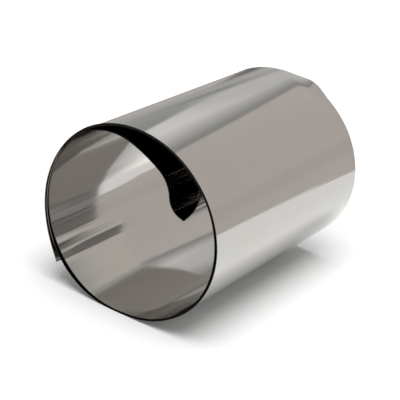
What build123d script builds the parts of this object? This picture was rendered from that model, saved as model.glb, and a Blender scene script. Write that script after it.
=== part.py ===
# Roll of nickel alloy strip, lying on its side: one thin sheet wound about two and a half turns.
# +Y runs along the roll's axis, away from the end that faces the viewer. +Z is up. Sizes in mm.
# The section is drawn about the roll's own axis, and the finished roll is then turned and set down.
import os
from math import atan2, cos, degrees, pi, radians, sin

from build123d import *

os.makedirs("parts", exist_ok=True)

strip_width = 150.0         # along the roll's axis
strip_thickness = 0.5
roll_radius = 56.7          # mean radius of the outermost face
turn_gap = 0.32             # clearance between turns that lie together
rest_turn = 8.0             # counterclockwise, to where the roll comes to rest

start_angle = -123.5        # where the outer end lies, clockwise from the top, seen from the near end
wound_angle = 808.0         # from the outer end to where the inner end leaves the turns

oval = 1.55                 # the roll's own weight makes it wider than it is high
egg = 0.4                   # its lower half is fuller than its upper half
floor_flat = 0.62           # the turns flatten a little where they bear on the floor
floor_flat_place = 186.0
floor_flat_span = 24.0

outer_end_lift = 3.55       # the outer end springs off the turn below it
outer_end_span = 45.0

# Where turns part by more than the clearance: middle of the place, half its span, inward shift.
left_dip = (393.0, 48.0, 0.99)
right_dip = (580.0, 50.0, 0.51)
inner_dip = (734.0, 70.0, 1.9)
second_turn_sinks = (345.0, 435.0)
third_turn_sinks = (672.0, 792.0)

# The inner end, as the winding arbor left it: a bend away from the turns, a long easy run, a hook down, a
# flare outward, a sharp crease, and a last leg that curves up until its edge all but meets the turns.
leave_radius = 35.8
leave_bend = 60.4
run_radius = 89.0
run_bend = 13.3
hook_radius = 18.6
hook_bend = 48.8
flare_radius = 11.0
flare_bend = 63.2
flare_run = 2.3
crease_radius = 1.0
crease_bend = 69.4
leg_run = 3.8
leg_radius = 26.0
widest_leg_bend = 75.0      # a leg that never meets the turns ends here

arc_span = 8.0              # the wound curve is drawn in arcs about this long, in degrees


def swell(angle, place):
    middle, half_span, amount = place
    reach = abs(angle - middle) / half_span
    return amount * cos(pi / 2 * reach) ** 2 if reach < 1 else 0.0


def ease(angle, span):
    u = min(max((angle - span[0]) / (span[1] - span[0]), 0.0), 1.0)
    return u * u * (3 - 2 * u)


def wound_radius(angle):
    """Radius of the sheet's middle, at an angle wound from the outer end."""
    round_angle = radians(start_angle + angle)
    r = roll_radius - strip_thickness / 2
    r += egg * cos(3 * round_angle) - oval * cos(2 * round_angle)
    r -= swell((start_angle + angle) % 360, (floor_flat_place, floor_flat_span, floor_flat))
    r -= (strip_thickness + turn_gap) * (ease(angle, second_turn_sinks) + ease(angle, third_turn_sinks))
    r -= swell(angle, left_dip) + swell(angle, right_dip) + swell(angle, inner_dip)
    r += outer_end_lift * max(0.0, 1 - angle / outer_end_span) ** 3
    return r


def wound_point(angle):
    round_angle = radians(start_angle + angle)
    return Vector(wound_radius(angle) * sin(round_angle), wound_radius(angle) * cos(round_angle))


def wound_heading(angle):
    return (wound_point(angle + 0.01) - wound_point(angle - 0.01)).normalized()


def face_point(angle, shift):
    """A point on one face of the sheet, shifted outward from its middle."""
    heading = wound_heading(angle)
    return wound_point(angle) + Vector(-heading.Y, heading.X) * shift


def wound_face(shift):
    """The wound stretch of a face, in arcs. Its last point is returned."""
    arcs = max(1, round(wound_angle / arc_span))
    step = wound_angle / arcs
    for i in range(arcs):
        start, middle, end = (face_point(step * (i + u), shift) for u in (0, 0.5, 1))
        ThreePointArc(start, middle, end)
    return end


def bent_end(start, shift):
    """The inner end's bends on one face, as far as the last leg's curve. The leg's straight is returned."""
    leave = JernArc(start, wound_heading(wound_angle), leave_radius + shift, -leave_bend)
    run = JernArc(leave @ 1, leave % 1, run_radius + shift, -run_bend)
    hook = JernArc(run @ 1, run % 1, hook_radius + shift, -hook_bend)
    flare = JernArc(hook @ 1, hook % 1, flare_radius - shift, flare_bend)
    toe = Line(flare @ 1, flare @ 1 + (flare % 1) * flare_run)
    crease = JernArc(toe @ 1, toe % 1, crease_radius - shift, crease_bend)
    return Line(crease @ 1, crease @ 1 + (crease % 1) * leg_run)


with BuildLine():
    middle_leg = bent_end(wound_point(wound_angle), 0)


def leg_clearance(bend):
    """What is left between the leg's outer corner and the innermost turn, once the leg has bent this far."""
    heading = middle_leg % 1
    centre = middle_leg @ 1 + Vector(-heading.Y, heading.X) * leg_radius
    spoke = Vector(heading.Y, -heading.X).rotate(Axis.Z, bend)
    corner = centre + spoke * (leg_radius + strip_thickness / 2)
    angle = degrees(atan2(corner.X, corner.Y)) - start_angle
    while angle + 360 < wound_angle:
        angle += 360
    return wound_radius(angle) - strip_thickness / 2 - corner.length


leg_bend, too_far = 0.0, widest_leg_bend
while too_far - leg_bend > 0.01:
    tried = (leg_bend + too_far) / 2
    if leg_clearance(tried) > turn_gap:
        leg_bend = tried
    else:
        too_far = tried


def sheet_face(shift):
    """One face of the sheet in the section. Its first and last points are returned."""
    leg = bent_end(wound_face(shift), shift)
    tip = JernArc(leg @ 1, leg % 1, leg_radius - shift, leg_bend)
    return face_point(0, shift), tip @ 1


near_end = Plane(origin=(0, -strip_width / 2, 0), x_dir=(1, 0, 0), z_dir=(0, -1, 0))

with BuildPart() as roll:
    with BuildSketch(near_end) as section:
        with BuildLine():
            outer_start, outer_tip = sheet_face(strip_thickness / 2)
            inner_start, inner_tip = sheet_face(-strip_thickness / 2)
            Line(outer_start, inner_start)
            Line(outer_tip, inner_tip)
        make_face()
    extrude(amount=-strip_width)

turned = roll.part.rotate(Axis.Y, -rest_turn)
box = turned.bounding_box()
strip = Pos(-box.center().X, 0, -box.min.Z) * turned
strip.label = "strip"
export_step(strip, "parts/strip.step")
print(strip.bounding_box(), strip.volume)
print("leg bend", leg_bend)
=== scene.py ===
# Roll of bright nickel alloy strip, lying on its side on a white studio table.
from math import atan2, cos, degrees, exp, pi, radians, sin, sqrt
from random import Random

import bpy
from mathutils import Matrix, Vector


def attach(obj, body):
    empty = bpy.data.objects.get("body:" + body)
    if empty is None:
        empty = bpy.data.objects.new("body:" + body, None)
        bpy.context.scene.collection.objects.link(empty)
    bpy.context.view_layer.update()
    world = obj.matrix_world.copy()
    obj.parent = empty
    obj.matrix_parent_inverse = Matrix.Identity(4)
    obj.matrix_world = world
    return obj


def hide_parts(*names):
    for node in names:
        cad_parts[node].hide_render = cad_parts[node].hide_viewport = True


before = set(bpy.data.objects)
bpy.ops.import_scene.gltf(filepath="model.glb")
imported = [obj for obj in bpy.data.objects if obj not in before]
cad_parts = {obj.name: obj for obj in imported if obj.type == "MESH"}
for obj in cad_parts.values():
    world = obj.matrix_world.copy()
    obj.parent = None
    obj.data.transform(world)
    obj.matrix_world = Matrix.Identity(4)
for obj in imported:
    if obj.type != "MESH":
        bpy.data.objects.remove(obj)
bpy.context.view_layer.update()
print("frame loaded")

mm = 0.001

# The sheet's section, in mm and degrees. Angles run clockwise from the top, seen from the near end.
sheet = dict(
    width=150.0,
    thickness=0.5,
    rollRadius=56.7,                # mean radius of the outermost face
    turnGap=0.32,                   # clearance between turns that lie together
    restTurn=8.0,                   # how far the finished roll has turned to its rest, counterclockwise
    startAngle=-123.5,              # where the outer end lies
    woundAngle=808.0,               # from the outer end to where the inner end leaves the turns
    oval=1.55,                      # wider than it is high
    egg=0.4,                        # fuller in its lower half
    floorFlat=(186.0, 24.0, 0.62),  # flattened where it bears on the floor: place, half span, amount
    outerEndLift=3.55,              # the outer end springs off the turn below it
    outerEndSpan=45.0,
    # where turns part by more than the clearance, and where each one sinks inside the one before it
    dips=[(393.0, 48.0, 0.99), (580.0, 50.0, 0.51), (734.0, 70.0, 1.9)],
    sinks=[(345.0, 435.0), (672.0, 792.0)],
    # the inner end: radius and bend of each curve, or the length of a straight run and no bend
    innerEnd=[
        (35.8, -60.4), (89.0, -13.3), (18.6, -48.8), (11.0, 63.2),
        (2.3, 0), (1.0, 69.4), (3.8, 0), (26.0, 35.58),
    ],
)

# How the sheet is meshed, and the unevenness that a mirror finish gives away. In mm and degrees.
surface = dict(
    turnStep=1.6,                   # between columns in the wound turns
    headingStep=0.01,               # each way, for the sheet's heading
    endStep=(1.0, 9.0),             # at most this many mm, and degrees, between columns in the inner end
    rows=50,                        # across the width
    sharpAngle=40.0,                # a bend between faces that shades as an edge
    topSwell=(-27.0, 40.0, 0.42),   # the turns stand out a little along here: place, half span, amount
    farSwell=(29.0, 15.0, 1.9),     # near the far end they swell out here
    farReach=9.0,                   # how far from the far edge that begins
    wave=0.03,                      # height of the soft waves that handling leaves
    waveSeed=7,
    # how many of each wave go round a turn, and how often each one wanders across the width
    waveKinds=[(3, 0.7), (5, 1.3), (8, 1.1), (12, 1.9), (17, 0.8), (23, 1.5)],
    waveThinning=0.2,               # how much lower the closer waves are
    waveWander=0.8,                 # in radians round the turn
    wanderLength=40.0,              # how much of the width it takes for a radian of wandering
    waveFade=20.0,                  # the waves die out along this much of the inner end
)


def bump(distance, halfSpan):
    reach = abs(distance) / halfSpan
    return cos(pi / 2 * reach) ** 2 if reach < 1 else 0.0


def bumpAround(angle, place):
    middle, halfSpan, amount = place
    return amount * bump((angle - middle + 180) % 360 - 180, halfSpan)


def ease(x, first, last):
    u = min(max((x - first) / (last - first), 0.0), 1.0)
    return u * u * (3 - 2 * u)


def blend(a, b, share):
    return a + (b - a) * share


# The sheet's middle in the wound turns, at an angle from its outer end.
def woundPoint(angle):
    theta = sheet["startAngle"] + angle
    r = sheet["rollRadius"] - sheet["thickness"] / 2
    r += sheet["egg"] * cos(3 * radians(theta)) - sheet["oval"] * cos(2 * radians(theta))
    r -= bumpAround(theta, sheet["floorFlat"])
    for first, last in sheet["sinks"]:
        r -= (sheet["thickness"] + sheet["turnGap"]) * ease(angle, first, last)
    for middle, halfSpan, amount in sheet["dips"]:
        r -= amount * bump(angle - middle, halfSpan)
    r += sheet["outerEndLift"] * max(0.0, 1 - angle / sheet["outerEndSpan"]) ** 3
    return r * sin(radians(theta)), r * cos(radians(theta))


def woundHeading(angle):
    xa, za = woundPoint(angle - surface["headingStep"])
    xb, zb = woundPoint(angle + surface["headingStep"])
    return atan2(zb - za, xb - xa)


# Columns of the mesh along the sheet: x, z, heading, and how much of the handling waves each takes.
def layColumns():
    columns = []
    steps = round(sheet["woundAngle"] / surface["turnStep"])
    for i in range(steps + 1):
        angle = sheet["woundAngle"] * i / steps
        columns.append((*woundPoint(angle), woundHeading(angle), 1.0))
    x, z, heading, _ = columns[-1]
    gone = 0.0
    longest, sharpest = surface["endStep"]
    for size, bend in sheet["innerEnd"]:
        length = size * radians(abs(bend)) if bend else size
        pieces = max(1, round(length / longest), round(abs(bend) / sharpest))
        x0, z0, h0 = x, z, heading
        for i in range(1, pieces + 1):
            turn = radians(bend) * i / pieces
            side = size if bend > 0 else -size
            if bend:
                x = x0 + side * (sin(h0 + turn) - sin(h0))
                z = z0 - side * (cos(h0 + turn) - cos(h0))
            else:
                x, z = x0 + size * i / pieces * cos(h0), z0 + size * i / pieces * sin(h0)
            heading = h0 + turn
            share = 1 - ease(gone + length * i / pieces, 0, surface["waveFade"])
            columns.append((x, z, heading, share))
        gone += length
    return columns


# Soft waves, the same in all the turns, so that they keep clear of one another.
def mixWaves():
    rng = Random(surface["waveSeed"])
    laid = []
    for count, across in surface["waveKinds"]:
        share = 1 / (1 + count * surface["waveThinning"])
        laid.append((count, across, rng.uniform(0, 2 * pi), rng.uniform(0, 2 * pi), share))
    return laid


waves = mixWaves()


# How far the turns stand out at a place. The waves only go inward, so that the roll keeps its size.
def unevenness(theta, depth):
    height = 0.0
    for count, across, phaseA, phaseB, share in waves:
        wander = surface["waveWander"] * sin(across * depth / surface["wanderLength"] + phaseB)
        height += share * (sin(count * radians(theta) + phaseA + wander) - 1)
    height *= surface["wave"]
    height += bumpAround(theta, surface["topSwell"])
    far = ease(depth, sheet["width"] - surface["farReach"], sheet["width"])
    return height + far * bumpAround(theta, surface["farSwell"])


# The points of both faces, row by row, and how far along and across the strip each one is.
def layPoints(columns):
    half = sheet["thickness"] / 2
    runs = [0.0]
    for (xa, za, _, _), (xb, zb, _, _) in zip(columns, columns[1:]):
        runs.append(runs[-1] + sqrt((xb - xa) ** 2 + (zb - za) ** 2))
    points, places = [], []
    for face in (half, -half):
        for j in range(surface["rows"] + 1):
            depth = sheet["width"] * j / surface["rows"]
            for (x, z, heading, share), run in zip(columns, runs):
                r = sqrt(x * x + z * z)
                lift = share * unevenness(degrees(atan2(x, z)), depth) if share else 0.0
                points.append(Vector((
                    x - face * sin(heading) + lift * x / r,
                    depth - sheet["width"] / 2,
                    z + face * cos(heading) + lift * z / r,
                )))
                places.append((run * mm, depth * mm))
    return points, places


# The bright faces, and the slit and sheared edges that join them.
def layFaces(count, rows):
    def corner(side, j, i):
        return (side * rows + j) * count + i

    faces, edges = [], []
    for j in range(rows - 1):
        for i in range(count - 1):
            faces.append((corner(0, j, i), corner(0, j, i + 1), corner(0, j + 1, i + 1), corner(0, j + 1, i)))
            faces.append((corner(1, j, i), corner(1, j + 1, i), corner(1, j + 1, i + 1), corner(1, j, i + 1)))
    far, tip = rows - 1, count - 1
    for i in range(count - 1):
        edges.append((corner(0, 0, i), corner(1, 0, i), corner(1, 0, i + 1), corner(0, 0, i + 1)))
        edges.append((corner(0, far, i), corner(0, far, i + 1), corner(1, far, i + 1), corner(1, far, i)))
    for j in range(rows - 1):
        edges.append((corner(0, j, 0), corner(0, j + 1, 0), corner(1, j + 1, 0), corner(1, j, 0)))
        edges.append((corner(0, j, tip), corner(1, j, tip), corner(1, j + 1, tip), corner(0, j + 1, tip)))
    return faces, edges


# Puts a mesh, lamp or camera into the scene.
def newObject(name, data):
    made = bpy.data.objects.new(name, data)
    bpy.context.collection.objects.link(made)
    return made


restTurned = Matrix.Rotation(-radians(sheet["restTurn"]), 4, "Y")


# The strip, turned to its rest and set on the floor, and where the roll's axis is then.
def buildStrip():
    columns = layColumns()
    points, places = layPoints(columns)
    faces, edges = layFaces(len(columns), surface["rows"] + 1)
    turned = restTurned.to_3x3()
    points = [turned @ p for p in points]
    middleX = (min(p.x for p in points) + max(p.x for p in points)) / 2
    centre = Vector((-middleX, 0, -min(p.z for p in points)))
    data = bpy.data.meshes.new("rolledStrip")
    data.from_pydata([(p + centre) * mm for p in points], [], faces + edges)
    layer = data.uv_layers.new(name="alongStrip")  # metres along and across the strip
    for loop in data.loops:
        layer.data[loop.index].uv = places[loop.vertex_index]
    for index, polygon in enumerate(data.polygons):
        polygon.material_index = 0 if index < len(faces) else 1
    data.shade_smooth()
    data.set_sharp_from_angle(angle=radians(surface["sharpAngle"]))
    return newObject("rolledStrip", data), centre * mm


strip, rollCentre = buildStrip()
rollPlace = Matrix.Translation(rollCentre) @ restTurned  # the roll's axis, turned as the roll is
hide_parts("strip")
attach(strip, "root")
print("strip built,", len(strip.data.polygons), "faces")


def srgb(code):
    out = []
    for i in (0, 2, 4):
        c = int(code[i:i + 2], 16) / 255
        out.append(c / 12.92 if c <= 0.04045 else ((c + 0.055) / 1.055) ** 2.4)
    return (*out, 1.0)


# Adds a node: settings are its own properties or input values, links go from (node, output) to an input.
def add(tree, kind, settings=None, links=None):
    node = tree.nodes.new(kind)
    for name, value in (settings or {}).items():
        if isinstance(name, str) and name not in node.inputs:
            setattr(node, name, value)
        else:
            node.inputs[name].default_value = value
    for name, (source, output) in (links or {}).items():
        tree.links.new(source.outputs[output], node.inputs[name])
    return node


# A Mix node's colour sockets go by number, because others in it have the same names.
mixA, mixB, mixed = 6, 7, 2


def newMaterial(name):
    material = bpy.data.materials.new(name)
    material.use_nodes = True
    material.node_tree.nodes.clear()
    return material, material.node_tree


# Sizes in mm, along the strip first where there are two.
finish = dict(
    metal="B4B4B3",
    warmer="B1AFAA",                # where the alloy has dulled a little
    roughness=(0.065, 0.105),       # least and most
    hazeSize=34.0,                  # of the patches that are duller and rougher
    hazeRange=(0.3, 0.7),           # the haze's values that are least and most rough
    lineSize=(70.0, 1.1),           # rolling lines, coarser than the real ones so that they show at all
    lineDepth=0.006,
    lineStrength=0.25,
    anisotropy=0.75,
    grain=0.25,                     # a quarter turn, so that the lines draw what it mirrors out across them
    chatterSize=(6.0, 130.0),       # soft bars across the strip, from winding
    chatterDepth=(0.20, 0.002),     # where the turns part at the left of the innermost one, and elsewhere
    chatterMiddle=714.0,            # how far along the strip that place is
    chatterReach=(12.0, 28.0),      # how far to each side it has them in full, and has any
)


# Nickel alloy, cold rolled between polished rolls: nearly a clear mirror, which fine lines that run along
# the strip draw out across it. The bars that winding leaves feather the edges of what it mirrors.
def brightRolledNickel():
    material, tree = newMaterial("brightRolledNickelAlloy")
    coords = add(tree, "ShaderNodeUVMap", dict(uv_map="alongStrip"))

    haze = add(
        tree, "ShaderNodeTexNoise",
        dict(Scale=1 / (finish["hazeSize"] * mm), Detail=3.0, Roughness=0.55),
        dict(Vector=(coords, "UV")),
    )
    tint = add(
        tree, "ShaderNodeMix",
        {"data_type": "RGBA", mixA: srgb(finish["metal"]), mixB: srgb(finish["warmer"])},
        dict(Factor=(haze, "Fac")),
    )
    low, high = finish["hazeRange"]
    smooth, rough = finish["roughness"]
    roughness = add(
        tree, "ShaderNodeMapRange",
        {"From Min": low, "From Max": high, "To Min": smooth, "To Max": rough},
        dict(Value=(haze, "Fac")),
    )

    along, across = finish["lineSize"]
    lineScale = (1 / (along * mm), 1 / (across * mm), 1)
    lineMap = add(tree, "ShaderNodeMapping", dict(Scale=lineScale), dict(Vector=(coords, "UV")))
    lines = add(
        tree, "ShaderNodeTexNoise",
        dict(Scale=1.0, Detail=4.0, Roughness=0.6),
        dict(Vector=(lineMap, "Vector")),
    )
    lineRelief = add(
        tree, "ShaderNodeBump",
        dict(Strength=finish["lineStrength"], Distance=finish["lineDepth"] * mm),
        dict(Height=(lines, "Fac")),
    )

    along, across = finish["chatterSize"]
    barScale = (1 / (along * mm), 1 / (across * mm), 1)
    barMap = add(tree, "ShaderNodeMapping", dict(Scale=barScale), dict(Vector=(coords, "UV")))
    bars = add(
        tree, "ShaderNodeTexNoise",
        dict(Scale=1.0, Detail=1.5, Roughness=0.5),
        dict(Vector=(barMap, "Vector")),
    )
    parts = add(tree, "ShaderNodeSeparateXYZ", None, dict(Vector=(coords, "UV")))
    middle = finish["chatterMiddle"] * mm
    offset = add(tree, "ShaderNodeMath", {"operation": "SUBTRACT", 1: middle}, {0: (parts, "X")})
    away = add(tree, "ShaderNodeMath", dict(operation="ABSOLUTE"), {0: (offset, "Value")})
    full, part = finish["chatterReach"]
    much, little = finish["chatterDepth"]
    barDepth = add(
        tree, "ShaderNodeMapRange",
        {
            "interpolation_type": "SMOOTHSTEP",
            "From Min": full * mm, "From Max": part * mm, "To Min": much * mm, "To Max": little * mm,
        },
        dict(Value=(away, "Value")),
    )
    relief = add(
        tree, "ShaderNodeBump", None,
        dict(Height=(bars, "Fac"), Distance=(barDepth, "Result"), Normal=(lineRelief, "Normal")),
    )

    tangent = add(tree, "ShaderNodeTangent", dict(direction_type="UV_MAP", uv_map="alongStrip"))
    shader = add(
        tree, "ShaderNodeBsdfPrincipled",
        {"Metallic": 1.0, "Anisotropic": finish["anisotropy"], "Anisotropic Rotation": finish["grain"]},
        {
            "Base Color": (tint, mixed), "Roughness": (roughness, "Result"),
            "Normal": (relief, "Normal"), "Tangent": (tangent, "Tangent"),
        },
    )
    add(tree, "ShaderNodeOutputMaterial", None, dict(Surface=(shader, "BSDF")))
    return material


# Sizes in mm.
edge = dict(
    # dark partly for the torn metal and partly as painted shade on the thin edges
    metal="2A2825",
    darker="1C1B19",
    # painted sheen: a lighter brownish grey for the light the outer turn's edge catches on the left
    paintedSheen="6C685F",
    roughness=0.5,
    grit=0.35,                      # torn grain of the sheared metal
    gritDepth=0.05,
    gritStrength=0.4,
    paintedSheenLeft=(-47.0, -51.0),        # painted sheen on the outer turn's edge here on the left, for the light it catches: none to full
    paintedSheenOut=(54.0, 55.5),           # and this far from the axis
)


# The slit and sheared edges: torn, rough and dark beside the bright faces, that darkness partly the torn
# metal and partly painted shade, and painted a dull brownish grey where the outer turn stands proud on the
# left, a painted sheen for the light it catches there.
def shearedEdge():
    material, tree = newMaterial("shearedStripEdge")
    coords = add(tree, "ShaderNodeTexCoord")
    grit = add(
        tree, "ShaderNodeTexNoise",
        dict(Scale=1 / (edge["grit"] * mm), Detail=2.0),
        dict(Vector=(coords, "Object")),
    )
    torn = add(
        tree, "ShaderNodeMix",
        {"data_type": "RGBA", mixA: srgb(edge["metal"]), mixB: srgb(edge["darker"])},
        dict(Factor=(grit, "Fac")),
    )
    relief = add(
        tree, "ShaderNodeBump",
        dict(Strength=edge["gritStrength"], Distance=edge["gritDepth"] * mm),
        dict(Height=(grit, "Fac")),
    )

    # Where the painted sheen goes: the outer turn's edge, on the left.
    fromAxis = add(
        tree, "ShaderNodeVectorMath",
        {"operation": "SUBTRACT", 1: tuple(rollCentre)},
        {0: (coords, "Object")},
    )
    flat = add(
        tree, "ShaderNodeVectorMath",
        {"operation": "MULTIPLY", 1: (1, 0, 1)},
        {0: (fromAxis, "Vector")},
    )
    reach = add(tree, "ShaderNodeVectorMath", dict(operation="LENGTH"), {0: (flat, "Vector")})
    parts = add(tree, "ShaderNodeSeparateXYZ", None, dict(Vector=(coords, "Object")))
    none, full = edge["paintedSheenLeft"]
    left = add(
        tree, "ShaderNodeMapRange",
        {"From Min": none * mm, "From Max": full * mm},
        dict(Value=(parts, "X")),
    )
    none, full = edge["paintedSheenOut"]
    outer = add(
        tree, "ShaderNodeMapRange",
        {"From Min": none * mm, "From Max": full * mm},
        dict(Value=(reach, "Value")),
    )
    paintedSheen = add(
        tree, "ShaderNodeMath",
        dict(operation="MULTIPLY"),
        {0: (left, "Result"), 1: (outer, "Result")},
    )
    tint = add(
        tree, "ShaderNodeMix",
        {"data_type": "RGBA", mixB: srgb(edge["paintedSheen"])},
        {"Factor": (paintedSheen, "Value"), mixA: (torn, mixed)},
    )

    shader = add(
        tree, "ShaderNodeBsdfPrincipled",
        dict(Metallic=1.0, Roughness=edge["roughness"]),
        {"Base Color": (tint, mixed), "Normal": (relief, "Normal")},
    )
    add(tree, "ShaderNodeOutputMaterial", None, dict(Surface=(shader, "BSDF")))
    return material


strip.data.materials.append(brightRolledNickel())
strip.data.materials.append(shearedEdge())
print("finish made")

# The camera, placed in mm from the middle of the roll's axis, as it stood before the roll turned to its rest.
view = dict(
    place=(376.8, -552.8, 233.4),
    right=(0.8234, 0.5675, 0.0),    # its own three directions
    up=(-0.1928, 0.2798, 0.9405),
    back=(0.5337, -0.7744, 0.3398),
    lens=109.5,
    sensor=36.0,
    nearest=0.01,                   # in metres
)


def addCamera():
    data = bpy.data.cameras.new("camera")
    data.lens = view["lens"]
    data.sensor_width = view["sensor"]
    data.clip_start = view["nearest"]
    camera = newObject("camera", data)
    axes = Matrix((view["right"], view["up"], view["back"])).transposed().to_4x4()
    camera.matrix_world = rollPlace @ Matrix.Translation(Vector(view["place"]) * mm) @ axes
    bpy.context.scene.camera = camera


addCamera()

# The white table and the light on it. Sizes in metres.
studio = dict(
    white="FFFFFF",
    tableSize=8.0,
    sky=0.33,                       # light from all round
    sun=2.44,                       # one wide lamp above, which casts the shadow
    sunSpread=44.0,                 # in degrees
    sunFrom=(0.16, -0.16, 0.97),
)


def addTable():
    material, tree = newMaterial("whiteTable")
    shader = add(tree, "ShaderNodeBsdfDiffuse", dict(Color=srgb(studio["white"])))
    add(tree, "ShaderNodeOutputMaterial", None, dict(Surface=(shader, "BSDF")))
    half = studio["tableSize"] / 2
    corners = [(-half, -half, 0), (half, -half, 0), (half, half, 0), (-half, half, 0)]
    data = bpy.data.meshes.new("floor")
    data.from_pydata(corners, [], [(0, 1, 2, 3)])
    data.materials.append(material)
    newObject("floor", data)


# What the metal mirrors: a warm grey room beyond the white table, with a soft lamp panel in its ceiling and a
# dark flag beside the panel. Levels are linear. Places are in metres from the middle of the roll's axis.
room = dict(
    wall=2.2,                       # how far back it stands
    top=0.35,                       # the ceiling's height
    left=-3.2,
    right=2.8,
    level=0.75,                     # of the wall, the floor and the ceiling to the right of the flag
    warm=(1.065, 0.98, 0.945),      # tint of those
    neutral=(1.005, 1.0, 0.985),    # tint of the table, the panel and the flag
)

# A dark opening in the room's wall and floor.
doorway = dict(
    sides=(-0.73, -0.655),          # how far left of the roll they are for each metre back
    back=0.06,                      # where along the roll those lines start
    softness=0.012,
    level=0.17,
)


def doorwayShare(x, y):
    left, right = doorway["sides"]
    soft = doorway["softness"]
    direction = x / (y - doorway["back"])
    return ease(direction, left - soft, left + soft) * ease(direction, right + soft, right - soft)


ceiling = dict(
    slant=0.48,                     # the flag lies turned: how far its edges run left for each metre back
    flag=(0.202, 0.178, 0.47),      # its sharp edge, its soft edge, its level
    flagSoftness=0.007,             # of its sharp edge
    glow=(0.03, 0.15, 0.02),        # the ceiling beyond it is brighter here: place, half span, amount
    panelRise=4.9,                  # how fast light grows across the panel beside the flag, for each metre
    panelEdge=(-0.245, 0.41, 0.62),     # a point on the panel's left edge, and that edge's slant
    panelSoftness=(0.008, 0.098),   # of that edge, near and far
    panelSoftens=(0.45, 0.80),      # from where to where along it
    panelLevels=(1.14, 0.83, 0.66),     # near, in the middle and far
    panelFades=((0.35, 0.58), (0.66, 0.90)),
    leftLevels=(0.50, 0.63),        # the ceiling beyond the panel, and where it has run into the wall
    leftFade=(-0.35, 0.7),          # where it starts to, and how slowly
    # place, half size and level of dark things on it
    smudges=[(-1.10, 1.70, 0.26, 0.22), (-0.53, 0.83, 0.17, 0.34)],
    # the painted grid: its steps, and the places where they change
    acrossGrid=(0.1, -0.9, 0.006, 0.42, 0.3),
    backGrid=(0.05, 0.01, 1.0, 0.1),
)


# Light from the ceiling at a place: its level, and how warm it is.
def ceilingShade(x, y):
    across = x + ceiling["slant"] * y
    sharp, soft, dark = ceiling["flag"]
    near, middle, far = ceiling["panelLevels"]
    fade, fadeAgain = ceiling["panelFades"]
    bright = blend(blend(near, middle, ease(y, *fade)), far, ease(y, *fadeAgain))
    level = min(bright, dark + ceiling["panelRise"] * max(0.0, soft - across))

    warmth = ease(across, sharp - ceiling["flagSoftness"], sharp + ceiling["flagSoftness"])
    glowPlace, glowSpan, glow = ceiling["glow"]
    level = blend(level, room["level"] + glow * bump(x - glowPlace, glowSpan), warmth)

    edgeX, edgeY, edgeSlant = ceiling["panelEdge"]
    edgeX -= edgeSlant * (y - edgeY)
    softness = blend(*ceiling["panelSoftness"], ease(y, *ceiling["panelSoftens"]))
    fadeFrom, fadeLength = ceiling["leftFade"]
    left = blend(*ceiling["leftLevels"], 1 - exp(-max(0.0, fadeFrom - x) / fadeLength))
    level = blend(left, level, ease(x, edgeX - softness, edgeX + softness))

    for smudgeX, smudgeY, reach, smudgeLevel in ceiling["smudges"]:
        distance = sqrt((x - smudgeX) ** 2 + (y - smudgeY) ** 2)
        level = blend(level, smudgeLevel, bump(distance, reach))
    return level, warmth


backWall = dict(
    dims=(-0.3, 0.1, 0.94),         # it dims a little with height: from, to, what is left
    leftFrom=(-0.8, -1.2),          # where its darker part starts, and is full
    leftLevels=(0.48, 0.62),        # that part's, low and high
    leftHeights=(-0.1, 0.25),
    acrossGrid=(0.3, -1.7, 0.02, -0.7, 3.5),
    upGrid=(-1.5, 0.05),
)


def wallShade(x, z):
    low, high, left = backWall["dims"]
    level = room["level"] * blend(1.0, left, ease(z, low, high))
    darker = blend(*backWall["leftLevels"], ease(z, *backWall["leftHeights"]))
    level = blend(level, darker, ease(x, *backWall["leftFrom"]))
    return blend(level, doorway["level"], doorwayShare(x, room["wall"])), 1.0


# The table as the metal sees it, with the roll's shadow, and the room's floor beyond it. It lies level, and
# its places are measured from the point on the floor under the middle of the roll.
table = dict(
    open=1.29,                      # its level in the open
    shadow=(0.036, 0.18, 22.9),     # how far out it is full, its level, its rise for each metre further
    shadowEnds=(-0.080, 0.088),     # near and far
    shadowFade=0.070,               # how far past those it goes on fading
    clearing=(0.045, 0.100),        # where it clears towards its far end
    clearLevels=(1.06, 0.80),       # there, at the left and right
    clearSides=(0.016, 0.040),      # from where to where that changes
    glare=1.80,                     # its level beyond the shadow's far end
    glareWarmth=0.6,
    glareBack=(0.095, 0.155),       # how far back that starts, and is full
    glareSide=(0.085, 0.045),       # how far to the right it ends, and is still full
    # how far back the table reaches: x and y of each corner of its end
    ends=[(-0.34, 0.39), (-0.28, 0.43), (-0.15, 0.43), (-0.14, 0.315), (0.24, 0.315), (0.28, 0.365)],
    endSoftness=(0.004, 0.055),     # on the left, and beyond the last corner but one
    floorLeft=0.52,                 # the room's floor at the left
    floorLeftFrom=(-0.20, -0.30),
    pastWall=0.1,                   # it goes on this far under the wall
    height=0.0003,                  # over the table that the camera sees
    acrossGrid=(0.3, -1.6, 0.02, -0.6, 0.006, 0.36, 0.3),
    backGrid=(-1.0, 0.2, -0.16, 0.005, 0.46, 0.04),
)


def tableShade(x, y):
    start, dark, rise = table["shadow"]
    near, far = table["shadowEnds"]
    level = min(table["open"], max(dark, dark + rise * (abs(x) - start)))
    clear = blend(*table["clearLevels"], ease(x, *table["clearSides"]))
    level = max(level, blend(level, clear, ease(y, *table["clearing"])))
    level = blend(level, table["open"], ease(max(near - y, y - far), 0.0, table["shadowFade"]))
    glare = ease(y, *table["glareBack"]) * ease(x, *table["glareSide"])
    level = blend(level, table["glare"], glare)

    ends = table["ends"]
    edgeY = ends[0][1]
    for (xa, _), (xb, yb) in zip(ends, ends[1:]):
        edgeY = blend(edgeY, yb, min(max((x - xa) / (xb - xa), 0.0), 1.0))
    softness = blend(*table["endSoftness"], ease(x, ends[-2][0], ends[-1][0]))
    beyond = ease(y, edgeY - softness, edgeY + softness)
    floor = blend(room["level"], table["floorLeft"], ease(x, *table["floorLeftFrom"]))
    if y > edgeY:
        floor = blend(floor, doorway["level"], doorwayShare(x, y))
    return blend(level, floor, beyond), blend(table["glareWarmth"] * glare, 1.0, beyond)


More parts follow.
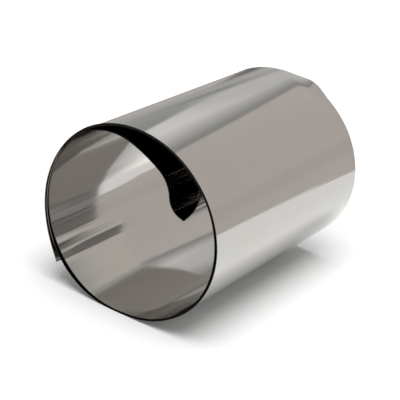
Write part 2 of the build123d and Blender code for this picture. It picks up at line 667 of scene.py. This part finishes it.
def paintedLight():
    material, tree = newMaterial("roomLight")
    painted = add(tree, "ShaderNodeAttribute", dict(attribute_name="light"))
    shader = add(tree, "ShaderNodeEmission", dict(Strength=1.0), dict(Color=(painted, "Color")))
    add(tree, "ShaderNodeOutputMaterial", None, dict(Surface=(shader, "Emission")))
    return material


roomLight = paintedLight()


# A panel of the room, which only the metal sees. Its light is painted on corner by corner.
def addRoomPanel(name, xs, ys, place, shade):
    points, colours = [], []
    for y in ys:
        for x in xs:
            points.append(place(x, y))
            level, warmth = shade(x, y)
            tint = [blend(n, w, warmth) for n, w in zip(room["neutral"], room["warm"])]
            colours.append([level * t for t in tint] + [1.0])
    quads = []
    for j in range(len(ys) - 1):
        for i in range(len(xs) - 1):
            k = j * len(xs) + i
            quads.append((k, k + 1, k + 1 + len(xs), k + len(xs)))
    data = bpy.data.meshes.new(name)
    data.from_pydata(points, [], quads)
    layer = data.color_attributes.new("light", "FLOAT_COLOR", "POINT")
    for item, colour in zip(layer.data, colours):
        item.color = colour
    data.materials.append(roomLight)
    panel = newObject(name, data)
    panel.visible_camera = False
    panel.visible_diffuse = False
    panel.visible_shadow = False
    panel.visible_transmission = False
    return panel


# Places from the first stop to the last. Between each two stops stands the step from one to the next.
def spread(*stopsAndSteps):
    stops, steps = stopsAndSteps[::2], stopsAndSteps[1::2]
    places = []
    for first, step, last in zip(stops, steps, stops[1:]):
        count = max(1, round((last - first) / step))
        places += [first + (last - first) * i / count for i in range(count)]
    return places + [stops[-1]]


def addRoom():
    left, right, wall, top = room["left"], room["right"], room["wall"], room["top"]
    xs = spread(left, *ceiling["acrossGrid"], right)
    ys = spread(*ceiling["backGrid"], wall)
    over = addRoomPanel("ceiling", xs, ys, lambda x, y: (x, y, top), ceilingShade)
    xs = spread(left, *backWall["acrossGrid"], right)
    zs = spread(*backWall["upGrid"], top)
    behind = addRoomPanel("backWall", xs, zs, lambda x, z: (x, wall, z), wallShade)
    for panel in (over, behind):
        panel.matrix_world = rollPlace  # they turned with the roll, as the camera did
    xs = spread(left, *table["acrossGrid"], right)
    ys = spread(*table["backGrid"], wall + table["pastWall"])
    addRoomPanel("roomFloor", xs, ys, lambda x, y: (x, y, table["height"]), tableShade)


# White for the camera and in mirrors, a low soft light on the rest, and one wide lamp that casts the shadow.
def addLight():
    world = bpy.data.worlds.new("whiteStudio")
    world.use_nodes = True
    tree = world.node_tree
    tree.nodes.clear()
    path = add(tree, "ShaderNodeLightPath")
    seen = add(
        tree, "ShaderNodeMath",
        dict(operation="MAXIMUM"),
        {0: (path, "Is Camera Ray"), 1: (path, "Is Glossy Ray")},
    )
    seenThrough = add(
        tree, "ShaderNodeMath",
        dict(operation="MAXIMUM"),
        {0: (seen, "Value"), 1: (path, "Is Transmission Ray")},
    )
    strength = add(
        tree, "ShaderNodeMapRange",
        {"To Min": studio["sky"], "To Max": 1.0},
        dict(Value=(seenThrough, "Value")),
    )
    background = add(
        tree, "ShaderNodeBackground",
        dict(Color=srgb(studio["white"])),
        dict(Strength=(strength, "Result")),
    )
    add(tree, "ShaderNodeOutputWorld", None, dict(Surface=(background, "Background")))
    bpy.context.scene.world = world

    lamp = bpy.data.lights.new("softKey", "SUN")
    lamp.energy = studio["sun"]
    lamp.angle = radians(studio["sunSpread"])
    key = newObject("softKey", lamp)
    key.rotation_euler = Vector(studio["sunFrom"]).to_track_quat("Z", "Y").to_euler()
    key.visible_glossy = False


addTable()
addRoom()
addLight()
bpy.context.scene.view_settings.view_transform = "Standard"
print("studio lit")
